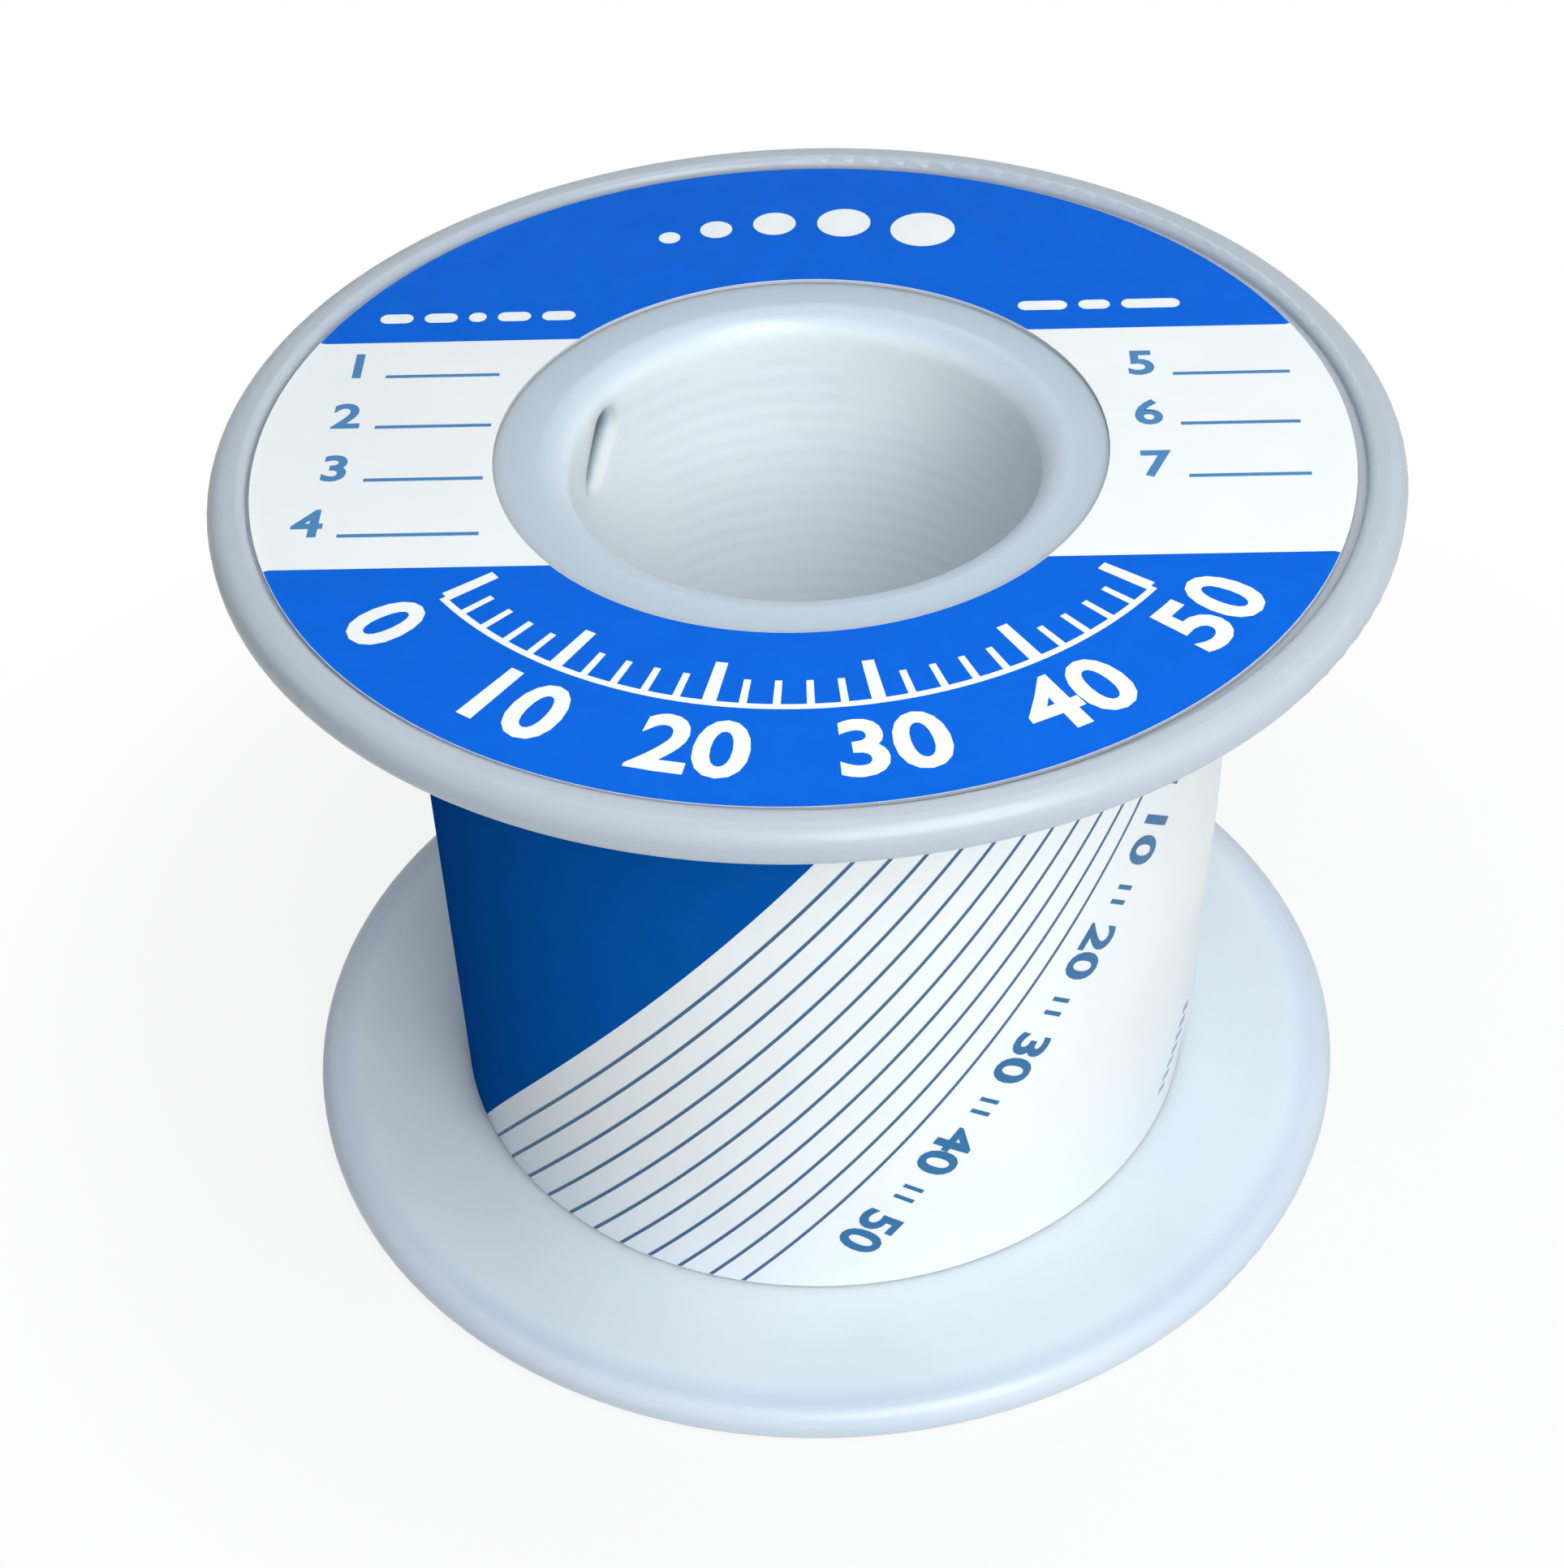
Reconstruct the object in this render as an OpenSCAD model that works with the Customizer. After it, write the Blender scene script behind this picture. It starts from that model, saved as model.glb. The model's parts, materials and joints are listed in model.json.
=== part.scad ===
// Small reel of solder wire: a one-piece moulded reel, the wound wire,
// a ring label on the top flange and a label wrapped round the winding.
// Millimetres. +Z runs up the bore, and z = 0 is the plane that the reel stands on.

/* [Reel] */
// Diameter of both flanges
flange_d = 50; // [46:0.5:60]
// Overall height, from rim to rim
reel_h = 36; // [28:0.5:44]
// Diameter of the bore for the spindle
bore_d = 20; // [14:0.5:22]
// Wall of the hub between the bore and the wire
hub_wall = 2.4; // [1.8:0.1:3]
// Radius of the rounding at each mouth of the bore
mouth_round = 1.2; // [0.4:0.1:1.6]
// Thickness of the flange's web at the hub
web_t = 1.15; // [1:0.05:1.6]
// Thickness of the flange's rim
rim_t = 1.8; // [1.7:0.1:2.2]
// Radius of the rounding on the rim's outside
rim_round = 0.75; // [0.5:0.05:0.85]
// Distance from the edge of the flange to the label's recess
rim_w = 1.65; // [1.6:0.05:3]
// Depth of the recess below the rim
recess_depth = 0.5; // [0.45:0.05:0.6]
// Radius of the rounding between the recess and the flat ring that the reel stands on
lip_round = 0.4; // [0.2:0.05:0.45]
// Radius of the fillet between the hub and each flange
root_fillet = 0.6; // [0.2:0.1:1]

/* [Wire] */
// Diameter of the solder wire
wire_d = 1; // [0.6:0.1:1.2]
// Depth of the winding, from the hub to the outside of the outer turns
wound_depth = 5.05; // [3.6:0.05:6.5]
// Least gap between turns of the outer layer
turn_gap = 0.42; // [0.42:0.02:0.8]

/* [Wire start] */
// Direction of the slot in the hub wall, from +X
start_angle = 154; // [0:1:359]
// Lean of the slot from upright
start_lean = 38; // [0:1:45]
// Length of the slot, end to end
slot_l = 4; // [3.6:0.1:6]
// Width of the slot
slot_w = 2; // [1.8:0.1:2.4]
// Radius of the bend where the wire turns down into the slot
start_bend = 0.9; // [0.8:0.1:1]
// Distance of the wire behind the bore's wall
start_depth = 0.6; // [0.1:0.1:0.8]

/* [Labels] */
// Thickness of both labels
label_t = 0.15; // [0.1:0.01:0.25]
// Gap between the face label and the edge of its recess
face_margin = 0.28; // [0.2:0.02:1]
// Bare ring between the bore's mouth and the hole of the face label
face_hole_margin = 1.75; // [0.5:0.05:3]
// How far the face label sits off centre
face_shift = 0.15; // [0:0.05:0.15]
// Gap between the wrap label and the lower flange
wrap_low_gap = 0.05; // [0.05:0.05:1]
// Gap between the wrap label and the upper flange
wrap_top_gap = 1.2; // [0.1:0.1:3]
// Direction of the wrap label's seam, from +X
seam_angle = 95; // [0:1:359]
// Length of the overlap at the seam
seam_lap = 4; // [2:0.5:10]

/* [Hidden] */

// Air left between the wire, the labels and what carries them
seat_gap = 0.05;
// Overshoot of a cut past the face that it opens
cut_over = 1;

// Most loops of the outer layer, rings to a loop and sides to the tube
most_loops = 24;
loop_rings = 24;
tube_sides = 6;

// Radii
flange_r = flange_d / 2;
bore_r = bore_d / 2;
hub_r = bore_r + hub_wall;
rim_centre_r = flange_r - rim_round;
recess_r = flange_r - rim_w;
lip_centre_r = recess_r + lip_round;
mouth_r = bore_r + mouth_round;

// The flange's inner face leans a little, from root_z at the hub to rim_t at the rim
root_z = recess_depth + web_t;
face_fall = (root_z - rim_t) / (rim_centre_r - hub_r);
face_lean = atan(face_fall);
function inner_face_z(r) = root_z - (r - hub_r) * face_fall;

// The wire's two windings, from the outside inwards
wire_r = wire_d / 2;
wound_r = hub_r + wound_depth;
turn_r = wound_r - wire_r;
chord_sink = turn_r * (1 - cos(180 / loop_rings));
core_r = turn_r - wire_r - chord_sink - seat_gap;
core_in_r = hub_r + seat_gap;

// Height of the outer layer's first turn, and the steady climb of its loops
turn_low = inner_face_z(turn_r - wire_r) + seat_gap + wire_r;
turn_run = reel_h - 2 * turn_low;
loops = min(most_loops, floor(turn_run / (wire_d + turn_gap)));
turn_pitch = turn_run / loops;

// The slot's centre lies so that its upper end stays under the flange. The wire
// lies nearer to one side of the slot, and its end as near to the slot's end.
slot_half = (slot_l - slot_w) / 2;
slot_z = reel_h - root_z - seat_gap - slot_w / 2 - slot_half * cos(start_lean);
start_side = (slot_w - wire_d) / 4;
start_tip = slot_l / 2 - wire_r - start_side;

// Labels
face_out_r = recess_r - face_margin;
face_in_r = mouth_r + face_hole_margin;
wrap_in_r = wound_r + seat_gap;
wrap_out_r = wrap_in_r + label_t;
wrap_low_z = inner_face_z(wrap_in_r) + wrap_low_gap;
wrap_top_z = reel_h - inner_face_z(wrap_in_r) - wrap_top_gap;
lap_angle = seam_lap / wrap_out_r * 180 / PI;

$fn = 128;

// Centre of the fillet between the hub and the lower flange, and where it meets the flange
fillet_centre = [hub_r + root_fillet, root_z + root_fillet * (1 / cos(face_lean) - face_fall)];
fillet_foot = fillet_centre - root_fillet * [sin(face_lean), cos(face_lean)];

// Section of the reel's lower half, from the bore to the hub's outside, with the
// rounding at the mouth not cut yet and a chord in place of each other rounding
function half_section() = [
    [bore_r, recess_depth],
    [recess_r, recess_depth],
    [recess_r, lip_round],
    [lip_centre_r, 0],
    [rim_centre_r, 0],
    [flange_r, rim_round],
    [flange_r, rim_t - rim_round],
    [rim_centre_r, rim_t],
    fillet_foot,
    [hub_r, fillet_centre[1]]
];

// The same points above the middle, in the opposite order
function upper_section() = [
    for (i = [len(half_section()) - 1 : -1 : 0])
        [half_section()[i][0], reel_h - half_section()[i][1]]
];

// Roundings on the rim of one flange
module rim_section() {
    translate([lip_centre_r, lip_round]) circle(r = lip_round);
    for (z = [rim_round, rim_t - rim_round])
        translate([rim_centre_r, z]) circle(r = rim_round);
}

// What the fillet takes off its chord
module fillet_cut() {
    translate(fillet_centre) circle(r = root_fillet);
}

// What the rounding takes off one mouth of the bore
module mouth_cut() {
    difference() {
        translate([bore_r - cut_over, recess_depth - cut_over])
            square(mouth_round + cut_over);
        translate([mouth_r, recess_depth + mouth_round]) circle(r = mouth_round);
    }
}

// Repeats a lower section on the upper flange
module both_ends() {
    children();
    translate([0, reel_h]) mirror([0, 1]) children();
}

module reel_section() {
    difference() {
        union() {
            polygon(concat(half_section(), upper_section()));
            both_ends() rim_section();
        }
        both_ends() fillet_cut();
        both_ends() mouth_cut();
    }
}

// Moves its children into the slot: x across it, y up along it, z out of the bore
module in_slot() {
    rotate([0, 0, start_angle])
        translate([bore_r, 0, slot_z])
            rotate([90, 0, 90])
                rotate([0, 0, start_lean])
                    children();
}

module start_slot() {
    in_slot() translate([0, 0, -cut_over])
        linear_extrude(hub_wall + 2 * cut_over) {
            square([slot_w, 2 * slot_half], center = true);
            for (side = [-1, 1])
                translate([0, side * slot_half]) circle(d = slot_w);
        }
}

module reel() {
    color("#d5dfe6")
        difference() {
            rotate_extrude() reel_section();
            start_slot();
        }
}

// Start of the wire: out of the winding, round one bend and down in the slot
module wire_start() {
    down_z = start_depth + wire_r;
    bend_y = slot_half - start_bend;
    in_slot() translate([-start_side, 0, 0]) {
        translate([0, slot_half, down_z + start_bend])
            cylinder(h = hub_wall + root_fillet + wire_d - down_z - start_bend, r = wire_r);
        translate([0, bend_y, down_z + start_bend])
            rotate([0, 90, 0])
                rotate_extrude(angle = 90)
                    translate([start_bend, 0]) circle(r = wire_r);
        translate([0, bend_y, down_z])
            rotate([90, 0, 0])
                cylinder(h = bend_y + start_tip, r = wire_r);
    }
}

// Section of the wire's inner layers, clear of the fillets and the flanges
module core_section() {
    corner = root_fillet + seat_gap;
    low = [
        [core_in_r, root_z + corner],
        [hub_r + corner, inner_face_z(hub_r + corner) + seat_gap],
        [core_r, inner_face_z(core_r) + seat_gap]
    ];
    high = [for (i = [2 : -1 : 0]) [low[i][0], reel_h - low[i][1]]];
    polygon(concat(low, high));
}

module inner_layers() {
    color("#a9adb0") {
        rotate_extrude() core_section();
        wire_start();
    }
}

// Place of the tube on the helix of the outer layer, after a number of loops
function on_helix(n) = [
    turn_r * cos(360 * n),
    turn_r * sin(360 * n),
    turn_low + turn_pitch * n
];

// Direction of the helix there
function along_helix(n) =
    let (way = [-sin(360 * n), cos(360 * n), turn_pitch / (2 * PI * turn_r)])
    way / norm(way);

// Each station is a place and a direction; both ends run straight for one diameter
function tube_stations() = concat(
    [[on_helix(0) - wire_d * along_helix(0), 0]],
    [for (i = [0 : loops * loop_rings]) [on_helix(i / loop_rings), i / loop_rings]],
    [[on_helix(loops) + wire_d * along_helix(loops), loops]]
);

// One ring of the tube, square to the wire
function tube_ring(station) =
    let (
        out = [cos(360 * station[1]), sin(360 * station[1]), 0],
        up = cross(out, along_helix(station[1]))
    )
    [
        for (s = [0 : tube_sides - 1])
            station[0] + wire_r * (cos(360 * s / tube_sides) * out - sin(360 * s / tube_sides) * up)
    ];

// Least distance between places on neighbouring loops, less the wire
function least_gap(places) = min([
    for (i = [0 : len(places) - 1])
        for (j = [i + loop_rings / 2 : min(i + 2 * loop_rings, len(places) - 1)])
            norm(places[i] - places[j])
]) - wire_d;

module outer_turns() {
    stations = tube_stations();
    points = [for (station = stations) each tube_ring(station)];
    last = (len(stations) - 1) * tube_sides;
    walls = [
        for (ring = [0 : len(stations) - 2])
            for (s = [0 : tube_sides - 1])
                let (
                    a = ring * tube_sides + s,
                    b = ring * tube_sides + (s + 1) % tube_sides
                )
                each [[a, b, b + tube_sides], [a, b + tube_sides, a + tube_sides]]
    ];
    caps = [
        for (s = [1 : tube_sides - 2])
            each [[0, s + 1, s], [last, last + s, last + s + 1]]
    ];
    echo(str("outer_turns: ", loops, " loops, least gap to itself ",
        least_gap([for (station = stations) station[0]]), " mm"));
    color("#b9bdc0") polyhedron(points = points, faces = concat(walls, caps));
}

module face_label() {
    color("#0c62dc")
        translate([-face_shift, 0, reel_h - recess_depth])
            difference() {
                cylinder(h = label_t, r = face_out_r);
                translate([0, 0, -cut_over])
                    cylinder(h = label_t + 2 * cut_over, r = face_in_r);
            }
}

// Disc of the wrap label's height, or higher where it cuts
module wrap_disc(r, over = 0) {
    translate([0, 0, wrap_low_z - over])
        cylinder(h = wrap_top_z - wrap_low_z + 2 * over, r = r);
}

// Sector where the label's end lies over its start
module lap_sector() {
    reach = 2 * wrap_out_r;
    translate([0, 0, wrap_low_z - cut_over])
        linear_extrude(wrap_top_z - wrap_low_z + 2 * cut_over)
            rotate(seam_angle)
                polygon([[0, 0], [reach, 0], reach * [cos(lap_angle), sin(lap_angle)]]);
}

module wrap_label() {
    lap_out_r = wrap_out_r + label_t;
    color("#e8eef2")
        difference() {
            wrap_disc(lap_out_r);
            wrap_disc(wrap_in_r, cut_over);
            difference() {
                wrap_disc(lap_out_r + cut_over, cut_over / 2);
                wrap_disc(wrap_out_r, cut_over);
                lap_sector();
            }
        }
}

reel();
inner_layers();
outer_turns();
face_label();
wrap_label();
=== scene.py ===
"""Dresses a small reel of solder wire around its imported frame.

The moulded reel and the face label keep their solids and get materials. The wound wire and the
label round it are replaced by fuller surfaces, and the print on both labels is thin ink. All
lengths are in metres and all angles in radians, unless a name or a unit says otherwise.
"""

import json
import math

import bmesh
import bpy
import numpy as np
from bpy.props import FloatProperty, FloatVectorProperty, PointerProperty
from bpy.types import Operator, Panel, PropertyGroup
from mathutils import Matrix, Vector


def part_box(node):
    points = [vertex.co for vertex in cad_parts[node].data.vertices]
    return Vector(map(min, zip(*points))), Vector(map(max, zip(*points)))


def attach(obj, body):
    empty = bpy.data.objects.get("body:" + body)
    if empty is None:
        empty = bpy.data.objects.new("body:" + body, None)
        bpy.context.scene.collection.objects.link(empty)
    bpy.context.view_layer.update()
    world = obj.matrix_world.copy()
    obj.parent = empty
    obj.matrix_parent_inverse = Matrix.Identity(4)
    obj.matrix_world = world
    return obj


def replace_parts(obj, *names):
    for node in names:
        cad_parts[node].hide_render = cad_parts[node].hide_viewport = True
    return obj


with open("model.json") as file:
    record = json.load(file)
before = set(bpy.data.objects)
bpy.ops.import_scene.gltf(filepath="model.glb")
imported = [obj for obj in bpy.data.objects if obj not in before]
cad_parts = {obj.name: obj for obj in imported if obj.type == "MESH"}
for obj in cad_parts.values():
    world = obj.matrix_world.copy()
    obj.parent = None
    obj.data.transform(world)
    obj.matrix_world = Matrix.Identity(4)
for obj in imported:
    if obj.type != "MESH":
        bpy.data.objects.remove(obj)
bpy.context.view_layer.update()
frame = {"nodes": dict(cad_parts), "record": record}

bl_info = {
    "name": "Solder wire reel",
    "version": (1, 0, 0),
    "blender": (4, 5, 0),
    "location": "View3D > Sidebar > Reel",
    "description": "Materials, wire, labels and a plain stage for a small reel of solder wire",
    "category": "Add Mesh",
}

MM = 0.001
BODY = "root"

# Places that the frame gives. +Z runs up the bore, and the reel stands on z = 0.
MOUNTS = {mount["name"]: mount for mount in frame["record"]["mounts"]}
BORE_R = MOUNTS["spindle_bore"]["dims"]["r_mm"] * MM
REEL_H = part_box("reel")[1].z
FLANGE_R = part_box("reel")[1].x
FACE_LOW, FACE_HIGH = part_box("face_label")
FACE_R = (FACE_HIGH.x - FACE_LOW.x) / 2
FACE_X = (FACE_HIGH.x + FACE_LOW.x) / 2
WRAP_LOW, WRAP_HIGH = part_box("wrap_label")
WRAP_R = WRAP_HIGH.x
TURNS_LOW, TURNS_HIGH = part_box("outer_turns")
WOUND_R = TURNS_HIGH.x
CORE_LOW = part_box("inner_layers")[0]

# Round walls as in the solids
FACE_HOLE_R = 12.95 * MM
HUB_R = 12.45 * MM

# Faces that meet at more than this keep a sharp edge
CREASE = math.radians(40)


def srgb(red, green, blue):
    """Linear colour of a display colour given as three numbers from 0 to 255."""
    display = np.array([red, green, blue]) / 255
    return tuple(np.where(display <= 0.04045, display / 12.92, ((display + 0.055) / 1.055) ** 2.4))


def real(name, description, default, **settings):
    """Property for a number."""
    return FloatProperty(name=name, description=description, default=default, **settings)


def length(name, description, default):
    """Property for a length, in metres."""
    return real(name, description, default, min=0, precision=5, unit="LENGTH")


def angle(name, description, degrees):
    """Property for an angle, whose default is given in degrees."""
    return real(name, description, math.radians(degrees), subtype="ANGLE", unit="ROTATION")


def power(name, description, default):
    """Property for a lamp's power, in watts."""
    return real(name, description, default, min=0, precision=3, unit="POWER")


def share(name, description, default):
    """Property for a number from 0 to 1."""
    return real(name, description, default, min=0, max=1, subtype="FACTOR")


def colour(name, description, default):
    """Property for a linear colour."""
    return FloatVectorProperty(
        name=name, description=description, default=default, size=3, min=0, max=1, subtype="COLOR"
    )


# Sizes and colours that a user would change


class ReelFinish(PropertyGroup):
    """Milky polypropylene of the moulded reel."""

    plastic: colour("Plastic", "Colour of the moulded reel", srgb(228, 240, 254))
    cloud: colour("Cloud", "Colour of the faint clouds in the plastic", srgb(221, 234, 250))
    # Painted shade: this colour darkens the upper flange and the flanges' rims
    thin: colour("Thin", "Colour of the upper flange, through which light passes on", srgb(184, 194, 203))
    # Painted shade: this colour darkens the ring round the bore
    mouth: colour("Mouth", "Colour of the thick ring round the bore", srgb(187, 204, 217))
    # Painted light: this colour makes the bore's wall paler where the wire shines behind it
    backed: colour("Backed", "Colour of the bore's wall, behind which the wire shines", srgb(238, 247, 255))
    # Painted shade: this colour darkens the slot's wall for the shade inside the slot
    rubbed: colour("Shaded", "Colour of the slot's wall, rubbed grey by the wire", srgb(112, 122, 127))
    # The dust specks' grey, also used for painted shade in bands over the wire's turns
    speck: colour("Speck", "Colour of dust under the skin", srgb(120, 122, 124))
    roughness: share("Roughness", "Roughness of the satin skin", 0.3)
    scatter: length("Scatter", "How far light spreads inside the plastic", 1.6 * MM)
    ring_height: length("Ring height", "Height of the ripples over the wire's turns", 0.0045 * MM)


class WireSizes(PropertyGroup):
    """The solder wire."""

    diameter: length("Diameter", "Diameter of the wire", 1.0 * MM)
    metal: colour("Metal", "Colour of the solder", srgb(206, 209, 212))
    flux: colour("Flux", "Colour of the flux in the wire's core", srgb(196, 150, 78))
    roughness: share("Roughness", "Roughness of the drawn surface", 0.3)


class FacePrint(PropertyGroup):
    """Print on the ring label of the top flange."""

    paper: colour("Paper", "Unprinted label", srgb(250, 254, 255))
    blue: colour("Blue", "Blue of the two segments", srgb(6, 103, 222))
    pen: colour("Form ink", "Ink of the rows in the white panels", srgb(70, 132, 186))
    roughness: share("Roughness", "Roughness of the ink", 0.45)
    lean: angle("Lean", "Turn of the whole print on the reel", -1.65)
    panel_half: length("Half panel", "Distance from the centre to each blue segment", 8.35 * MM)
    figure_height: length("Figures", "Height of the figures on the scale", 3.3 * MM)
    figure_r: length("Figure radius", "Radius at the middle of the figures", 20.0 * MM)
    tick_r: length("Tick radius", "Radius at the outer end of the ticks", 17.3 * MM)
    scale_start: angle("Scale start", "Direction of the scale's first tick, from +X", -143.5)
    scale_end: angle("Scale end", "Direction of the scale's last tick, from +X", -37)


class WrapPrint(PropertyGroup):
    """Print on the label round the wire, and how loosely that label lies."""

    paper: colour("Paper", "Unprinted label", srgb(249, 253, 254))
    blue: colour("Blue", "Blue of the corner", srgb(6, 88, 172))
    line: colour("Line", "Ink of the fine lines", srgb(62, 102, 138))
    figure: colour("Figure", "Ink of the figures", srgb(34, 108, 160))
    faint: colour("Faint", "Ink of the faint marks", srgb(154, 168, 192))
    roughness: share("Roughness", "Roughness of the label and of its fine print", 0.32)
    thickness: length("Thickness", "Thickness of the label", 0.15 * MM)
    edge_place: angle("Blue edge", "Direction of the blue corner's edge at half height, from +X", -117.6)
    lean: angle("Line lean", "Angle of the fine lines from the reel's edge", 51.3)
    pitch: length("Line pitch", "Distance between fine lines, square to them", 1.2 * MM)
    line_width: length("Line width", "Width of a fine line", 0.16 * MM)
    figure_height: length("Figures", "Height of the figures", 2.1 * MM)
    slack: length("Slack", "How far the label stands off the wire at its soft fold", 0.85 * MM)


class ReelStage(PropertyGroup):
    """Camera, floor and light."""

    camera_height: angle("Camera height", "Elevation of the camera above the label", 34.36)
    camera_distance: length("Camera distance", "Distance from the middle of the label", 120.085 * MM)
    lens: real("Lens", "Focal length, in millimetres", 65.13, min=1)
    front_power: power("Front", "Power of the lamp in front", 0.29)
    high_power: power("High", "Power of the lamp high on the right", 0.09)
    back_power: power("Back", "Power of the lamp behind", 0.21)
    fill: colour("Fill", "Even light from all round", (0.078, 0.1, 0.116))


# Meshes worked out as arrays


def together(*parts):
    """Points whose coordinates are the parts, each spread to the shape of all."""
    return np.stack(np.broadcast_arrays(*parts), axis=-1)


def round_points(radius, turn, height):
    """Points (r cos t, r sin t, z)."""
    return together(radius * np.cos(turn), radius * np.sin(turn), height)


def facing_out(points, quads):
    """The same quads, turned so that the closed mesh has a positive volume: the sum of the volumes
    from its middle to its triangles."""
    first, second, third, fourth = (points[quads] - points.mean(axis=0)).swapaxes(0, 1)
    volume = np.sum(first * (np.cross(second, third) + np.cross(third, fourth)))
    return quads if volume > 0 else quads[:, ::-1]


def grid_quads(rows, columns, round_rows=False, round_columns=False):
    """Quads between neighbours of a grid whose point (i, j) has the number i * columns + j."""
    number = np.arange(rows * columns).reshape(rows, columns)
    if round_rows:
        number = np.vstack([number, number[:1]])
    if round_columns:
        number = np.hstack([number, number[:, :1]])
    corners = number[:-1, :-1], number[1:, :-1], number[1:, 1:], number[:-1, 1:]
    return np.stack([corner.ravel() for corner in corners], axis=1)


def closed_sheet(top, under):
    """Closed mesh between two grids of the same shape: both faces, and a strip round their edge."""
    rows, columns = top.shape[:2]
    face = grid_quads(rows, columns)
    number = np.arange(rows * columns).reshape(rows, columns)
    rim = np.concatenate([number[0, :-1], number[:-1, -1], number[-1, :0:-1], number[:0:-1, 0]])
    after = np.roll(rim, -1)
    below = rows * columns
    edge = together(rim, after, after + below, rim + below)
    points = np.concatenate([top.reshape(-1, 3), under.reshape(-1, 3)])
    quads = np.concatenate([face, face[:, ::-1] + below, edge])
    return points, facing_out(points, quads)


def tube(centres, side, radii, sides):
    """Closed tube along a path: at each centre a ring of its radius, square to the path, that starts
    towards side. A single point at the first and the last centre closes the ends."""
    along = np.gradient(centres, axis=0)
    along /= np.linalg.norm(along, axis=1, keepdims=True)
    across = side - along * np.sum(side * along, axis=1, keepdims=True)
    across /= np.linalg.norm(across, axis=1, keepdims=True)
    third = np.cross(along, across)
    turn = np.linspace(0, 2 * np.pi, sides, endpoint=False)[None, :, None]
    spread = across[:, None] * np.cos(turn) + third[:, None] * np.sin(turn)
    rings = centres[:, None] + spread * radii[:, None, None]
    walls = grid_quads(len(centres), sides, round_columns=True)
    pole = len(centres) * sides
    ring = np.arange(sides)
    after = np.roll(ring, -1)
    start = together(ring, after, pole, pole)
    last = pole - sides
    end = together(after + last, ring + last, pole + 1, pole + 1)
    points = np.concatenate([rings.reshape(-1, 3), centres[[0, -1]]])
    return points, facing_out(points, np.concatenate([walls, start, end]))


def joined(parts):
    """One mesh from several, each a pair of points and quads."""
    points, quads = zip(*parts)
    counts = np.cumsum([0] + [len(part) for part in points])
    quads = [part + count for part, count in zip(quads, counts)]
    return np.concatenate(points), np.concatenate(quads)


def show(name, data):
    """New object of the scene with that data."""
    item = bpy.data.objects.new(name, data)
    bpy.context.scene.collection.objects.link(item)
    return item


def add_piece(name, mesh_parts, material, smooth=True):
    """Piece that rides on the reel, from (points, quads). A quad that names a point twice is a
    triangle."""
    points, quads = mesh_parts
    faces = [list(dict.fromkeys(face)) for face in quads.tolist()]
    mesh = bpy.data.meshes.new(name)
    mesh.from_pydata(points.tolist(), [], faces)
    mesh.update()
    if smooth:
        mesh.shade_smooth()
        mesh.set_sharp_from_angle(angle=CREASE)
    mesh.materials.append(material)
    piece = show(name, mesh)
    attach(piece, BODY)
    return piece


def smooth_step(low, high, value):
    """0 below low, 1 above high, and a smooth cubic between them."""
    part = np.clip((value - low) / (high - low), 0, 1)
    return part * part * (3 - 2 * part)


# Materials


def feed(tree, socket, value):
    """Links value to socket where it is a socket, and sets it otherwise."""
    if isinstance(value, bpy.types.NodeSocket):
        tree.links.new(value, socket)
    else:
        socket.default_value = value


def add_node(tree, kind, inputs=(), **settings):
    """Adds a node. inputs maps its sockets, by name or number, to constants or other sockets."""
    node = tree.nodes.new(kind)
    for key, value in settings.items():
        setattr(node, key, value)
    for key, value in dict(inputs).items():
        feed(tree, node.inputs[key], value)
    return node


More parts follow.
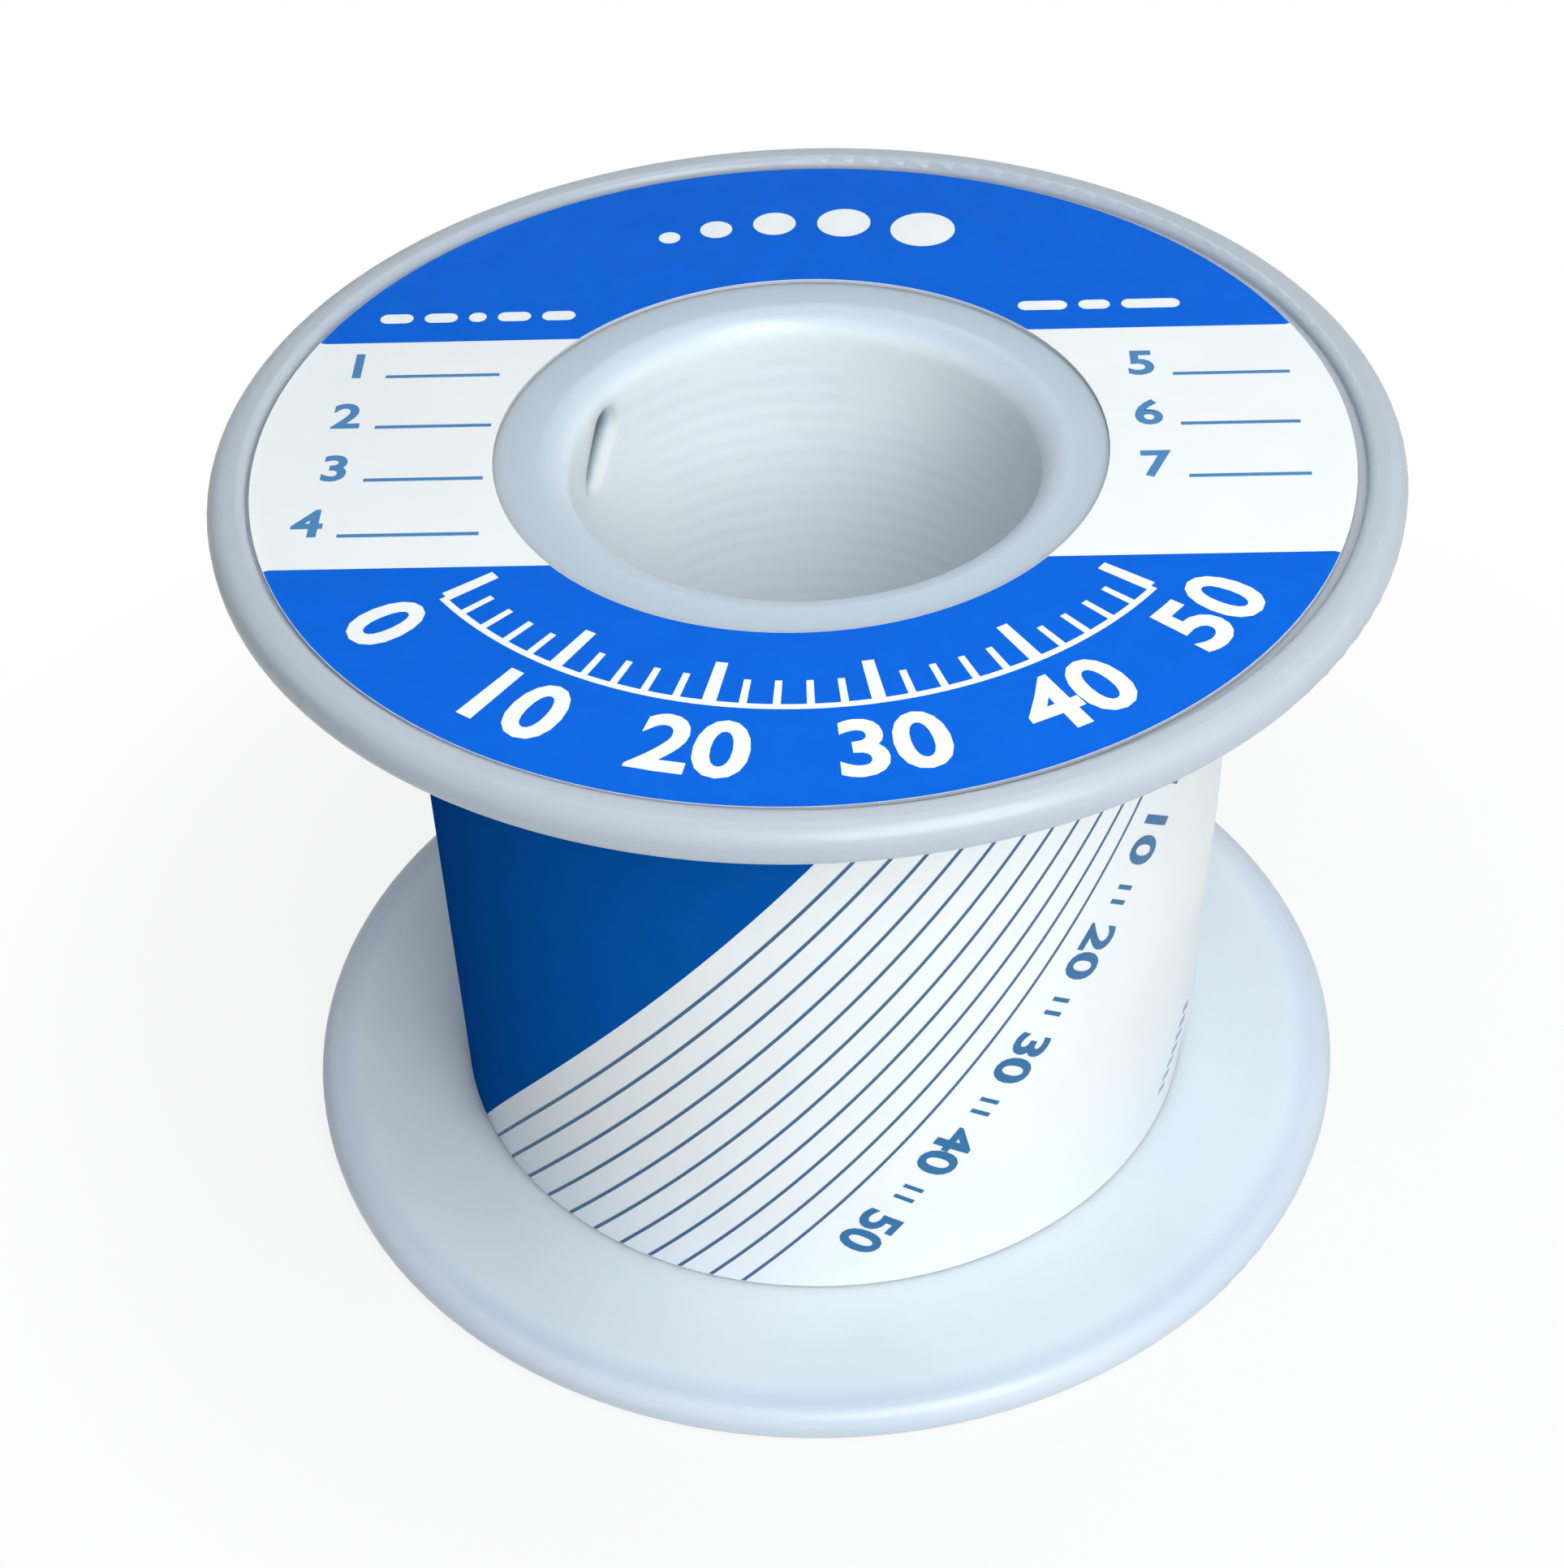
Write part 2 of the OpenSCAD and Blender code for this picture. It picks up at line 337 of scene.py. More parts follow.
class Finish:
    """Node material on Object coordinates. Its methods return sockets, so a pattern reads as a
    formula."""

    def __init__(self, name):
        self.material = bpy.data.materials.new(name)
        self.material.use_nodes = True
        self.tree = self.material.node_tree
        self.shader = self.tree.nodes["Principled BSDF"]
        self.point = self.add("ShaderNodeTexCoord").outputs["Object"]

    def add(self, kind, inputs=(), **settings):
        """Adds a node to the material."""
        return add_node(self.tree, kind, inputs, **settings)

    def set(self, **values):
        """Sets the shader's inputs, whose names are given with _ for a space."""
        for key, value in values.items():
            feed(self.tree, self.shader.inputs[key.replace("_", " ")], value)

    def math(self, operation, *terms):
        """Result of a maths node on the terms."""
        return self.add("ShaderNodeMath", dict(enumerate(terms)), operation=operation).outputs[0]

    def times(self, first, second):
        """Product of two values."""
        return self.math("MULTIPLY", first, second)

    def distance(self, x, y):
        """Distance of (x, y) from the axis: the root of x x + y y."""
        return self.math("SQRT", self.math("ADD", self.times(x, x), self.times(y, y)))

    def uneven(self, size, low, range_up):
        """Noise with lumps of that size, from low to low + range_up."""
        return self.spread(self.noise(size), 0.3, 0.7, low, low + range_up)

    def axes(self):
        """The x, y and z of the point."""
        split = self.add("ShaderNodeSeparateXYZ", {0: self.point}).outputs
        return split["X"], split["Y"], split["Z"]

    def noise(self, size, detail=2.0, point=None):
        """Soft noise from 0 to 1 with lumps of that size."""
        inputs = {"Vector": point or self.point, "Scale": 1 / size, "Detail": detail}
        return self.add("ShaderNodeTexNoise", inputs).outputs["Fac"]

    def spread(self, value, low, high, to_low=0.0, to_high=1.0):
        """value from low to high, spread over to_low to to_high and held there."""
        inputs = {"Value": value, "From Min": low, "From Max": high, "To Min": to_low, "To Max": to_high}
        return self.add("ShaderNodeMapRange", inputs, interpolation_type="SMOOTHSTEP").outputs["Result"]

    def mix(self, factor, first, second):
        """Colour between first, at 0, and second, at 1."""
        node = self.add("ShaderNodeMix", {"Factor": factor}, data_type="RGBA")
        for socket, value in zip((node.inputs[6], node.inputs[7]), (first, second)):
            value = value if isinstance(value, bpy.types.NodeSocket) else (*value, 1.0)
            feed(self.tree, socket, value)
        return node.outputs[2]

    def bump(self, height, distance, normal=None):
        """Bump whose height runs from 0 to 1 over that distance."""
        inputs = {"Height": height, "Distance": distance}
        if normal:
            inputs["Normal"] = normal
        return self.add("ShaderNodeBump", inputs).outputs["Normal"]

    def specks(self, spacing, size):
        """1 in a few small round specks, about that far apart, and 0 elsewhere."""
        inputs = {"Vector": self.point, "Scale": 1 / spacing}
        cells = self.add("ShaderNodeTexVoronoi", inputs).outputs
        near = self.math("LESS_THAN", cells["Distance"], size / spacing)
        drawn = self.add("ShaderNodeSeparateColor", {0: cells["Color"]}).outputs[0]
        return self.times(near, self.math("GREATER_THAN", drawn, 0.6))


def milky_polypropylene(look, wire):
    """Clouded plastic that scatters light, with dust specks and a satin skin. On the bore's wall it has
    painted light, paler where the wire shines behind it, and ripples over the wire's turns, as
    cos(2 pi (z - p t / 2 pi) / p) at an angle t and a pitch p, with painted shade in faint bands
    over them. Painted shade also darkens the upper flange, the flanges' rims, the ring round the
    bore and the slot's wall."""
    finish = Finish("milky_polypropylene")
    x, y, z = finish.axes()
    radius = finish.distance(x, y)
    round_angle = finish.math("ARCTAN2", y, x)
    climb = finish.times(round_angle, wire.diameter / (2 * math.pi))
    phase = finish.times(finish.math("SUBTRACT", z, climb), 2 * math.pi / wire.diameter)
    wave = finish.math("MULTIPLY_ADD", finish.math("COSINE", phase), 0.5, 0.5)
    off_middle = finish.math("ABSOLUTE", finish.math("SUBTRACT", z, REEL_H / 2))
    # Mask of the bore's wall, which painted light makes paler
    on_wall = finish.spread(radius, BORE_R + 0.8 * MM, BORE_R + 2.6 * MM, 1.0, 0.0)
    inside = finish.spread(off_middle, REEL_H / 2 - 1.6 * MM, REEL_H / 2 - 0.2 * MM, 1.0, 0.0)
    backed = finish.times(on_wall, inside)
    patchy = finish.spread(finish.noise(6 * MM), 0.42, 0.66)
    rings = finish.times(finish.times(wave, backed), patchy)

    clouds = finish.spread(finish.noise(14 * MM, 1.0), 0.3, 0.7)
    base = finish.mix(clouds, look.plastic, look.cloud)
    # Painted shade: the upper part of the reel, its upper flange, darker in colour
    base = finish.mix(finish.spread(z, 0.5 * REEL_H, 0.9 * REEL_H), base, look.thin)
    # Painted shade: the ring round the bore darker in colour
    base = finish.mix(finish.spread(radius, HUB_R, HUB_R + 0.8 * MM, 1.0, 0.0), base, look.mouth)
    # Painted shade: darker towards each flange's rim, most on the upper flange
    rim = finish.spread(radius, FLANGE_R - 2.0 * MM, FLANGE_R - 0.8 * MM, 0.0, 0.45)
    rim = finish.times(rim, finish.spread(z, 0.4 * REEL_H, 0.9 * REEL_H, 0.8, 1.0))
    base = finish.mix(rim, base, look.thin)
    # Painted shade: the slot's wall darker in colour, below the bore's mouth and within the hub
    slot_shade = finish.spread(radius, BORE_R + 0.3 * MM, BORE_R + 1.1 * MM)
    below_mouth = finish.math("LESS_THAN", off_middle, REEL_H / 2 - 2.4 * MM)
    in_hub = finish.math("LESS_THAN", radius, HUB_R - 0.1 * MM)
    slot_shade = finish.times(slot_shade, finish.times(below_mouth, in_hub))
    # Painted light: the bore's wall paler in colour
    base = finish.mix(backed, base, look.backed)
    base = finish.mix(slot_shade, base, look.rubbed)
    # Painted shade: faint grey bands over the wire's turns on the bore's wall
    base = finish.mix(finish.times(rings, 0.06), base, look.speck)
    specks = finish.specks(6.5 * MM, 0.1 * MM)
    base = finish.mix(finish.times(specks, 0.7), base, look.speck)
    skin = finish.bump(finish.noise(1.2 * MM, 1.0), 0.002 * MM)
    finish.set(
        Base_Color=base,
        Roughness=finish.uneven(2.5 * MM, look.roughness, 0.07),
        Normal=finish.bump(rings, look.ring_height, skin),
        IOR=1.49,
        Subsurface_Weight=1.0,
        Subsurface_Scale=look.scatter,
        Subsurface_Radius=(0.93, 0.96, 1.0),
    )
    return finish.material


def drawn_solder(look):
    """Bright soft metal. Its drawing marks run along the wire, so their noise is long round the reel
    and short across: it reads (radius, angle, z) with the angle shrunk."""
    finish = Finish("drawn_solder")
    x, y, z = finish.axes()
    round_angle = finish.times(finish.math("ARCTAN2", y, x), 0.5 * MM)
    wound = {"X": finish.distance(x, y), "Y": round_angle, "Z": z}
    wound = finish.add("ShaderNodeCombineXYZ", wound).outputs[0]
    marks = finish.noise(0.09 * MM, point=wound)
    dull = finish.spread(finish.noise(3 * MM, 3.0), 0.35, 0.7)
    finish.set(
        Base_Color=finish.mix(dull, look.metal, tuple(0.82 * part for part in look.metal)),
        Metallic=1.0,
        Roughness=finish.math("MULTIPLY_ADD", dull, 0.14, look.roughness),
        Normal=finish.bump(marks, 0.004 * MM),
    )
    return finish.material


def flux_core(look):
    """Hard amber resin with a fine grain."""
    finish = Finish("flux_core")
    grain = finish.noise(0.1 * MM)
    finish.set(
        Base_Color=finish.mix(grain, look.flux, tuple(0.6 * part for part in look.flux)),
        Roughness=0.35,
        Normal=finish.bump(grain, 0.01 * MM),
    )
    return finish.material


def coated_paper(name, paper, roughness, gloss, top=None):
    """Coated label stock: a faint uneven tone and a skin that shows its fibres a little. Where a top
    is given, the cut edge below that height is greyer: its adhesive, and painted shade at the
    label's edge."""
    finish = Finish(name)
    tone = finish.spread(finish.noise(4 * MM, 3.0), 0.3, 0.7)
    fibres = finish.noise(0.4 * MM)
    # Painted shade, with the adhesive: the cut edge greyer
    cut = finish.math("LESS_THAN", finish.axes()[2], top) if top else 0.0
    face = finish.mix(tone, paper, tuple(0.975 * part for part in paper))
    finish.set(
        Base_Color=finish.mix(cut, face, tuple(0.55 * part for part in paper)),
        Roughness=finish.uneven(1.5 * MM, roughness, 0.06),
        Normal=finish.bump(fibres, 0.001 * MM),
        Specular_IOR_Level=gloss,
    )
    return finish.material


def printed_ink(name, ink, roughness, gloss):
    """Ink that lies a little uneven on a label, lighter where it is thin."""
    finish = Finish(name)
    thin = finish.spread(finish.noise(1.6 * MM, 4.0), 0.35, 0.75)
    grain = finish.noise(0.25 * MM)
    lighter = tuple(1.12 * part for part in ink)
    finish.set(
        Base_Color=finish.mix(finish.times(thin, 0.5), ink, lighter),
        Roughness=finish.uneven(1.2 * MM, roughness, 0.06),
        Normal=finish.bump(grain, 0.001 * MM),
        Specular_IOR_Level=gloss,
    )
    return finish.material


# Strokes and figures of the print, drawn on a plan and then placed on a label


# Height of one layer of ink
INK = 0.01 * MM

# The two sides of a stroke
SIDES = np.array([1.0, -1.0])[None, :, None]

# Of the plain figures, in parts of the font's size: the distance below which two points are one,
# and how far the outline goes out
WELD = 0.005
WEIGHT = 0.026

# Longest edges of the figures on each label
FACE_FINEST = 1.5 * MM
WRAP_FINEST = 0.5 * MM


def stroke(start, end, width, steps=2):
    """Grid of a straight stroke with square ends: places along it, and its two sides."""
    start, end = np.asarray(start, float), np.asarray(end, float)
    along = np.linspace(0, 1, steps)[:, None, None]
    way = (end - start) / np.linalg.norm(end - start)
    across = np.array([-way[1], way[0]]) * width / 2
    return start + along * (end - start) + SIDES * across


def round_bar(start, end, width, steps=12):
    """Grid of a bar with round ends. Its half width is w/2 sin(a) for an angle a from 0 to pi, whose
    first half lies round the start and whose second half lies round the end. A dot is a bar as long
    as wide."""
    start, end = np.asarray(start, float), np.asarray(end, float)
    reach = np.linalg.norm(end - start)
    way = (end - start) / reach
    turn = np.linspace(0.12, np.pi - 0.12, steps)
    half = width / 2
    along = np.where(turn < np.pi / 2, half * (1 - np.cos(turn)), reach - half * (1 + np.cos(turn)))
    across = np.array([-way[1], way[0]])
    return start + along[:, None, None] * way + SIDES * half * np.sin(turn)[:, None, None] * across


def inked(plans, place, lift=0):
    """Closed ink over each plan grid, one layer high, that place puts at that lift on a label."""
    return joined([closed_sheet(place(plan, lift + INK), place(plan, lift)) for plan in plans])


def outline(corners, count):
    """First and second ends of the sides that only one of several flat triangles has."""
    sides = np.concatenate([corners[:, [0, 1]], corners[:, [1, 2]], corners[:, [2, 0]]])
    there = sides[:, 0] * count + sides[:, 1]
    back = sides[:, 1] * count + sides[:, 0]
    return sides[~np.isin(there, back)].T


def bolder(points, corners, weight):
    """Flat figures' points, moved so that the outline goes out by weight: each by 2 w n / (n n), where
    n is the sum of its two sides' outward normals."""
    start, end = outline(corners, len(points))
    along = points[end, :2] - points[start, :2]
    along /= np.linalg.norm(along, axis=1, keepdims=True)
    out = together(along[:, 1], -along[:, 0])
    normal = np.zeros((len(points), 2))
    np.add.at(normal, start, out)
    np.add.at(normal, end, out)
    squared = np.sum(normal**2, axis=1, keepdims=True)
    moved = points.copy()
    moved[:, :2] += 2 * weight * normal / np.maximum(squared, 0.5)
    return moved


def raised(points, corners):
    """Closed solid over flat triangles: the triangles at z = 0 and again at z = 1, and a wall on each
    side of their outline."""
    count = len(points)
    start, end = outline(corners, count)
    low = corners[:, [2, 1, 0, 0]]
    high = corners[:, [0, 1, 2, 2]] + count
    walls = together(start, end, end + count, start + count)
    return np.concatenate([points, points + (0, 0, 1)]), np.concatenate([low, high, walls])


def flat_triangles(mesh):
    """Points and triangles' corners of a mesh that has only triangles."""
    points = np.empty(len(mesh.vertices) * 3)
    mesh.vertices.foreach_get("co", points)
    corners = np.empty(len(mesh.loops), dtype=int)
    mesh.loops.foreach_get("vertex_index", corners)
    return points.reshape(-1, 3), corners.reshape(-1, 3)


def halve_edges(mesh, finest):
    """Halves the edges of a flat mesh that are longer than finest, up to three times."""
    sheet = bmesh.new()
    sheet.from_mesh(mesh)
    for _ in range(3):
        long_edges = [edge for edge in sheet.edges if edge.calc_length() > finest]
        bmesh.ops.subdivide_edges(sheet, edges=long_edges, cuts=1)
        bmesh.ops.triangulate(sheet, faces=sheet.faces)
    sheet.to_mesh(mesh)
    sheet.free()


def figure_solid(text, height, finest):
    """Closed solid of plain bold figures, centred, that tall, and from z = 0 to z = 1. Its edges are
    finer than finest, so that it follows a round label."""
    curve = bpy.data.curves.new("figures", "FONT")
    curve.body = text
    curve.align_x = "CENTER"
    curve.resolution_u = 4
    writer = show("figures", curve)
    shapes = bpy.context.evaluated_depsgraph_get()
    mesh = bpy.data.meshes.new_from_object(writer.evaluated_get(shapes))
    bpy.data.objects.remove(writer)
    bpy.data.curves.remove(curve)
    sheet = bmesh.new()
    sheet.from_mesh(mesh)
    bmesh.ops.remove_doubles(sheet, verts=sheet.verts, dist=WELD)
    bmesh.ops.triangulate(sheet, faces=sheet.faces)
    sheet.to_mesh(mesh)
    sheet.free()
    points = bolder(*flat_triangles(mesh), WEIGHT)
    low, high = points.min(axis=0), points.max(axis=0)
    points[:, 1] -= (low[1] + high[1]) / 2
    points[:, :2] *= height / (high[1] - low[1])
    mesh.vertices.foreach_set("co", points.ravel())
    halve_edges(mesh, finest)
    solid = raised(*flat_triangles(mesh))
    bpy.data.meshes.remove(mesh)
    return solid


# Pieces


def dress_solid(node, material):
    """Gives a solid of the frame its material."""
    materials = frame["nodes"][node].data.materials
    materials.clear()
    materials.append(material)


def dress_reel(scene):
    """Gives the moulded reel its plastic."""
    dress_solid("reel", milky_polypropylene(scene.reel_finish, scene.reel_wire))


# The outer turns' radius in parts of the wire's, and that of their two ends in parts of theirs
TURN_SLACK = 0.995
END_ROUND = 0.8

# How fine the meshes of the wire are
TURN_SIDES = 10
LOOP_RINGS = 96
CORE_SIDES = 96
STEPS_A_WIRE = 4


def wind_outer_turns(scene):
    """Outer layer of wire: one tube along the helix (R cos t, R sin t, z0 + p t / 2 pi), whose loops
    touch."""
    wire = scene.reel_wire
    half = wire.diameter / 2
    low, high = TURNS_LOW.z + half, TURNS_HIGH.z - half
    loops = round((high - low) / wire.diameter)
    count = loops * LOOP_RINGS + 1
    turn = np.linspace(0, 2 * np.pi * loops, count)
    centres = round_points(WOUND_R - half, turn, np.linspace(low, high, count))
    radii = np.full(count, half * TURN_SLACK)
    radii[[0, -1]] *= END_ROUND
    wound = tube(centres, round_points(1, turn, 0), radii, TURN_SIDES)
    piece = add_piece("outer_turns_wound", wound, drawn_solder(wire))
    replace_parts(piece, "outer_turns")


def wind_inner_layers(scene):
    """Inner layers: a profile turned round the bore. Each side is a row of wires, so its radius swells
    once in every pitch, as |sin|, and both ends lean with the flanges."""
    wire = scene.reel_wire
    swell = 0.13 * wire.diameter
    core_r = WOUND_R - 1.19 * wire.diameter
    outer_low = CORE_LOW.z + 0.12 * MM
    inner_low = CORE_LOW.z + 0.35 * MM
    outer = core_r - swell, outer_low, REEL_H - outer_low, 1
    inner = HUB_R + swell, REEL_H - inner_low, inner_low, -1
    sides = []
    for radius, start, end, way in (outer, inner):
        turns = round(abs(end - start) / wire.diameter)
        part = np.linspace(0, turns, turns * STEPS_A_WIRE + 1)
        row = np.abs(np.sin(np.pi * part))
        sides.append(together(radius + way * swell * row, start + (end - start) * part / turns))
    radius, height = np.concatenate(sides).T
    turn = np.linspace(0, 2 * np.pi, CORE_SIDES, endpoint=False)[:, None]
    points = round_points(radius, turn, height).reshape(-1, 3)
    quads = grid_quads(CORE_SIDES, len(radius), round_rows=True, round_columns=True)
    quads = facing_out(points, quads)
    piece = add_piece("inner_layers_wound", (points, quads), drawn_solder(wire))
    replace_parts(piece, "inner_layers")


# The slot in the hub's wall, and the wire's start in it, as in the reel's solids
SLOT_ANGLE = math.radians(154)
SLOT_LEAN = math.radians(38)
SLOT_Z = 32.512 * MM
START_SIDE = -0.25 * MM
START_BEND = 0.9 * MM
START_TOP = 1.0 * MM
START_TIP = -1.25 * MM
START_DEPTH = 1.1 * MM
START_REACH = 4.0 * MM


def out_of_slot(across, up, out):
    """Points of the reel from places across the slot, up along it, and out from the bore's wall."""
    side = across * math.cos(SLOT_LEAN) - up * math.sin(SLOT_LEAN)
    rise = across * math.sin(SLOT_LEAN) + up * math.cos(SLOT_LEAN)
    cos, sin = math.cos(SLOT_ANGLE), math.sin(SLOT_ANGLE)
    radius = out + BORE_R
    return together(radius * cos - side * sin, radius * sin + side * cos, rise + SLOT_Z)


def lay_wire_start(scene):
    """Start of the wire: straight out of the winding, a quarter circle, and straight down in the slot,
    as one tube. Its cut end is a little rounded, and dips in to the flux."""
    wire = scene.reel_wire
    half = wire.diameter / 2
    bend_y = START_TOP - START_BEND
    bend_z = START_DEPTH + START_BEND
    turn = np.linspace(0, np.pi / 2, 10)
    run = together(START_TOP, np.linspace(START_REACH, bend_z, 8)[:-1])
    bend = together(bend_y + START_BEND * np.cos(turn), bend_z - START_BEND * np.sin(turn))
    fall = together(np.linspace(bend_y, START_TIP, 9)[1:], START_DEPTH)
    end = together(START_TIP - np.array([0.02, 0.03]) * MM, START_DEPTH)
    up, out = np.concatenate([run, bend, fall, end]).T
    radii = np.full(len(up), half)
    radii[-2:] = half * np.array([0.93, 0.4])
    side = out_of_slot(1, 0, 0) - out_of_slot(0, 0, 0)
    start = tube(out_of_slot(START_SIDE, up, out), side, radii, 20)
    add_piece("wire_start", start, drawn_solder(wire))

    dome = np.linspace(0.1, np.pi - 0.1, 9)
    depth = 0.04 * MM * np.cos(dome) + START_TIP - 0.03 * MM
    core = out_of_slot(START_SIDE, depth, START_DEPTH)
    bead = tube(core, side, 0.36 * half * np.sin(dome), 16)
    add_piece("flux_bead", bead, flux_core(wire))


def on_face(plan, lift):
    """Puts plan points (x, y) on the face label, turned with its print."""
    lean = bpy.context.scene.face_print.lean
    cos, sin = math.cos(lean), math.sin(lean)
    x, y = plan[..., 0], plan[..., 1]
    return together(x * cos - y * sin + FACE_X, x * sin + y * cos, FACE_HIGH.z + lift)


def on_ring(plan, lift):
    """Puts plan points (angle, radius) on the face label."""
    return on_face(round_points(plan[..., 1], plan[..., 0], 0), lift)


def blue_segment(label, side):
    """Grid of (angle, radius) over one blue segment: at an angle t, from the larger of the hole's
    radius and the chord's h / sin t, out to the label's edge."""
    edge_in, edge_out = FACE_HOLE_R + 0.02 * MM, FACE_R - 0.02 * MM
    corner = math.asin(label.panel_half / edge_out) + 0.004
    foot = math.asin(label.panel_half / edge_in)
    turn = np.linspace(corner, math.pi - corner, 121)
    turn = np.sort(np.concatenate([turn, [foot, math.pi - foot]]))
    inner = np.maximum(edge_in, label.panel_half / np.sin(turn))
    part = np.linspace(0, 1, 7)
    radius = inner[:, None] + part * (edge_out - inner[:, None])
    return together(side * turn[:, None], radius)


def print_face_label(scene):
    """The ring label: its paper is the solid's own surface, and each ink lies on it or on the blue."""
    label = scene.face_print
    top = FACE_HIGH.z - 0.01 * MM
    paper = coated_paper("face_paper", label.paper, roughness=0.42, gloss=0.25, top=top)
    dress_solid("face_label", paper)
    blue = printed_ink("face_blue", label.blue, label.roughness, gloss=0.04)
    white = printed_ink("face_white", label.paper, label.roughness, gloss=0.2)
    pen = printed_ink("face_pen", label.pen, label.roughness, gloss=0.2)

    segments = [blue_segment(label, side) for side in (1, -1)]
    add_piece("face_blue_segments", inked(segments, on_ring), blue)
    add_piece("face_scale", inked(scale_ticks(label), on_ring, INK), white)
    add_piece("face_gauge_dots", inked(gauge_dots(), on_face, INK), white)
    add_piece("face_dashes", inked(short_dashes(), on_face, INK), white)
    rows = panel_rows()
    add_piece("face_rows", inked(row_rules(rows), on_face), pen)
    add_piece("face_figures", scale_figures(label), white, smooth=False)
    add_piece("face_row_numbers", row_numbers(rows), pen, smooth=False)


SCALE_STEPS = 5
TICKS_A_STEP = 5

# Length and width of the scale's ticks
LONG_TICK = 2.3 * MM, 0.55 * MM
SHORT_TICK = 1.4 * MM, 0.3 * MM


def scale_ticks(label):
    """Strokes (angle, radius) of the scale: a long tick at each figure, short ones between, and an
    arc along their outer ends."""
    turn = np.linspace(label.scale_start, label.scale_end, SCALE_STEPS * TICKS_A_STEP + 1)
    ticks = []
    for number, place in enumerate(turn):
        tall, width = SHORT_TICK if number % TICKS_A_STEP else LONG_TICK
        half = width / 2 / label.tick_r
        sides = place + np.array([-half, half])
        ends = label.tick_r - tall, label.tick_r
        ticks.append(np.stack([together(sides, radius) for radius in ends]))
    line = np.linspace(label.scale_start, label.scale_end, 91)
    arc = [together(line, label.tick_r + side) for side in (0, 0.28 * MM)]
    return ticks + [np.stack(arc, axis=1)]


def scale_figures(label):
    """Figures of the scale, each bent round the ring with its top towards the bore: x makes an angle
    of x / r from its middle, and y a radius of r - y."""
    parts = []
    for step in range(SCALE_STEPS + 1):
        middle = label.scale_start + (label.scale_end - label.scale_start) * step / SCALE_STEPS
        points, quads = figure_solid(str(10 * step), label.figure_height, FACE_FINEST)
        x, y, top = points.T
        plan = together(middle + x / label.figure_r, label.figure_r - y)
        parts.append((on_ring(plan, INK + top * INK), quads))
    return joined(parts)


DOTS_R = 18.0 * MM


def gauge_dots():
    """Five dots in a row round the top of the ring, each larger than the one before."""
    dots = []
    place = -6.9 * MM
    for number in range(5):
        size = (1.0 + 0.5 * number) * MM
        turn = math.pi / 2 - (place + size / 2) / DOTS_R
        middle = np.array([math.cos(turn), math.sin(turn)]) * DOTS_R
        reach = np.array([size / 2, 0])
        dots.append(round_bar(middle - reach, middle + reach, size, 24))
        place += size + 1.0 * MM
    return dots


def short_dashes():
    """Two groups of short bars in the corners of the upper segment."""
    dashes = []
    height, width = 10.3 * MM, 0.75 * MM
    for place, lengths in ((-19.0, (1.5, 1.5, 0.8, 1.5, 1.5)), (9.6, (2.2, 1.4, 2.6))):
        for reach in lengths:
            dashes.append(round_bar((place * MM, height), ((place + reach) * MM, height), width))
            place += reach + 0.5
    return dashes


def panel_rows():
    """Rows of the two white panels: (start, end, height) of each, in metres."""
    left = [(-20.2, -13.2, y) for y in (5.6, 1.7, -2.2)] + [(-20.8, -13.0, -6.1)]
    right = [(14.0, 21.0, y) for y in (4.6, 0.8, -3.0)]
    return [tuple(part * MM for part in row) for row in left + right]


def row_rules(rows):
    """A thin rule along each row, past its number."""
    return [stroke((start + 2.0 * MM, y), (end, y), 0.22 * MM) for start, end, y in rows]


def row_numbers(rows):
    """A number at the start of each row, a little above its rule."""
    parts = []
    for number, (start, _, height) in enumerate(rows, 1):
        points, quads = figure_solid(str(number), 1.9 * MM, FACE_FINEST)
        x, y, top = points.T
        plan = together(x + (start + 0.7 * MM), y + (height + 0.9 * MM))
        parts.append((on_face(plan, top * INK), quads))
    return joined(parts)


# The wrap label's seam and overlap, the angles between which the overlap rises, the soft fold and
# how far that reaches to either side, and the two ranges of height over which it rises
SEAM = math.radians(95)
LAP = math.radians(13)
LAP_RISE = SEAM + 2 * math.pi - 0.09, SEAM + 2 * math.pi - 0.01
FOLD = math.radians(-13)
FOLD_FRONT = math.radians(19)
FOLD_BACK = math.radians(26)
FOLD_ROUND = math.radians(4)
LOW_RISE = 1.5 * MM, 7 * MM
HIGH_RISE = 9 * MM, 20 * MM


def wrap_surface(turn, height, lift=0.0):
    """Point of the wrap label's outside at an angle from SEAM to SEAM + 2 pi + LAP. Its radius is R,
    more by one thickness over the lap, and more where the label stands off the wire: a soft fold that
    runs up the label. At an angle d from the fold that is exp(-(sqrt(d d + s s) - s) / w), which is a
    ridge rounded over s, and steeper in front of it than behind."""
    label = bpy.context.scene.wrap_print
    off_fold = turn - 2 * np.pi - FOLD
    up = 0.6 * smooth_step(*LOW_RISE, height) + 0.4 * smooth_step(*HIGH_RISE, height)
    width = np.where(off_fold < 0, FOLD_FRONT, FOLD_BACK)
    ridge = np.exp(-(np.sqrt(off_fold**2 + FOLD_ROUND**2) - FOLD_ROUND) / width)
    lap = smooth_step(*LAP_RISE, turn)
    radius = WRAP_R + lift + label.slack * up * ridge + label.thickness * lap
    return round_points(radius, turn, height)


def on_wrap(plan, lift):
    """Puts plan points (arc, height) on the wrap label, the arc measured from +X along its surface."""
    return wrap_surface(plan[..., 0] / WRAP_R + 2 * np.pi, plan[..., 1], lift)


def blue_edge(label, height):
    """Arc at which the blue corner's edge passes a height: a straight line on the flat label."""
    middle = (WRAP_LOW.z + WRAP_HIGH.z) / 2
    return label.edge_place * WRAP_R + (height - middle) / math.tan(label.lean)


LINES = 11


